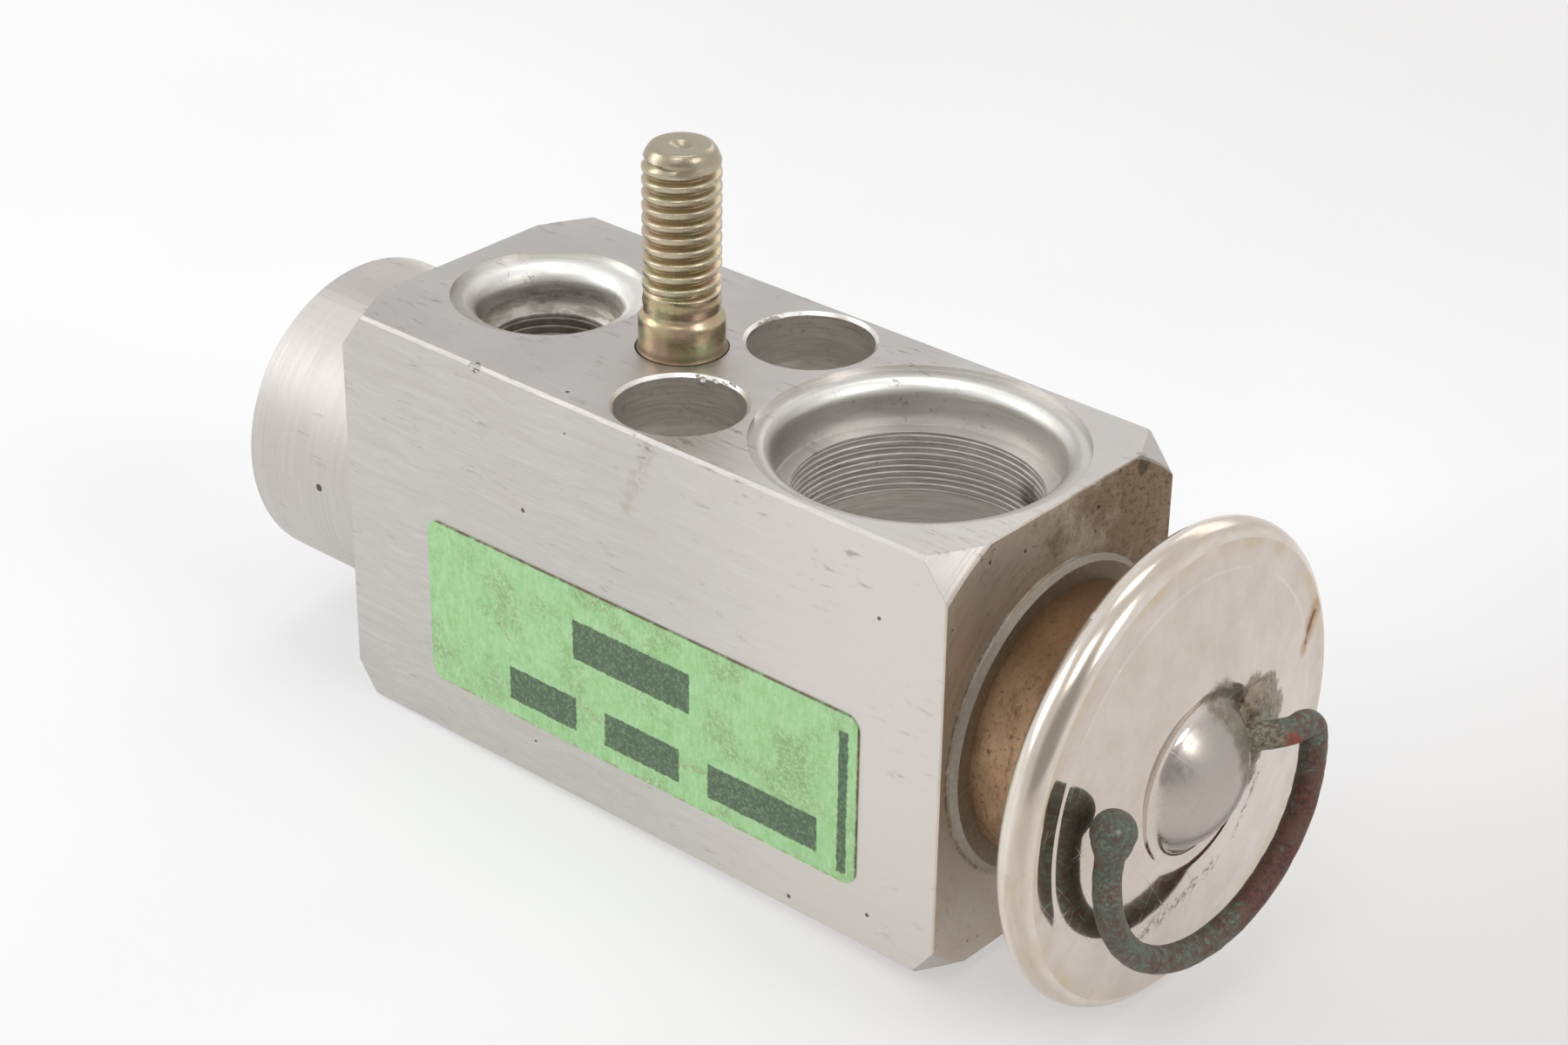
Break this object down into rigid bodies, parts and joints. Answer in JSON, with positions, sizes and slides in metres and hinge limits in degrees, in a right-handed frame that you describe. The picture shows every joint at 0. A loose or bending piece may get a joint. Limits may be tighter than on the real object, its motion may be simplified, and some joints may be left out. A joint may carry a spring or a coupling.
{
  "type": "block thermostatic expansion valve",
  "caption": "Block type thermostatic expansion valve with a round diaphragm power head, suction and liquid ports, a mounting stud, screw holes and an adjusting screw.",
  "frame": {"origin": "centre of the block's evaporator side face", "axes": "+X along the valve axis towards the power head, +Y across the block, +Z towards the line side face with the stud"},
  "size_m": [0.0867, 0.0354, 0.0502],
  "materials": {
    "block_aluminium": "brushed and worn bare aluminium",
    "label_green": "worn printed sticker, left without words",
    "stud_zinc": "yellow passivated zinc on steel",
    "head_stainless": "polished stainless sheet with fine scratches",
    "weld_stainless": "smooth weld with straw coloured heat tint",
    "spring_steel": "plain spring steel",
    "hub_brass": "brown tarnished brass",
    "seal_rubber": "black rubber",
    "tube_copper": "copper with green and dark red brown tarnish",
    "solder_grey": "dull grey brown solder with green flux",
    "train_steel": "turned steel",
    "rod_aluminium": "drawn aluminium",
    "ball_steel": "polished ball",
    "screw_brass": "turned brass"
  },
  "bodies": {
    "valve_body": {"valve_block": "block_aluminium", "label": "label_green", "mounting_stud": "stud_zinc", "head_cover": "head_stainless", "head_base": "head_stainless", "rim_weld": "weld_stainless", "diaphragm": "spring_steel", "head_hub": "hub_brass", "hub_seal": "seal_rubber", "charge_tube": "tube_copper", "tube_solder": "solder_grey", "rod_seal": "seal_rubber", "rod_seal_clip": "spring_steel", "valve_spring": "spring_steel"},
    "valve_train": {"pusher_plate": "train_steel", "sensing_rod": "rod_aluminium", "push_pin": "train_steel", "valve_ball": "ball_steel", "ball_carrier": "screw_brass", "damping_ring": "spring_steel"},
    "spring_seat": {"spring_seat": "screw_brass"},
    "adjusting_screw": {"adjusting_screw": "screw_brass", "screw_seal": "seal_rubber"}
  },
  "joints": [
    {"name": "valve_opening", "type": "slide", "parent": "valve_body", "child": "valve_train", "axis": [-1, 0, 0], "range_m": [0, 0.0008], "stiffness_N_per_m": 8000, "springref_m": -0.004, "deforming": ["valve_spring", "diaphragm"]},
    {"name": "spring_seat_slide", "type": "slide", "parent": "valve_body", "child": "spring_seat", "axis": [1, 0, 0], "range_m": [-0.00101, 0.00101], "deforming": ["valve_spring"]},
    {"name": "adjusting_screw_turn", "type": "hinge", "parent": "spring_seat", "child": "adjusting_screw", "pos_m": [-0.037, 0, 0.0163], "axis": [1, 0, 0], "range_deg": [-360, 360]}
  ],
  "couplings": [
    {"joint": "spring_seat_slide", "follows": "adjusting_screw_turn", "m_per_rad": 0.00015915}
  ]
}
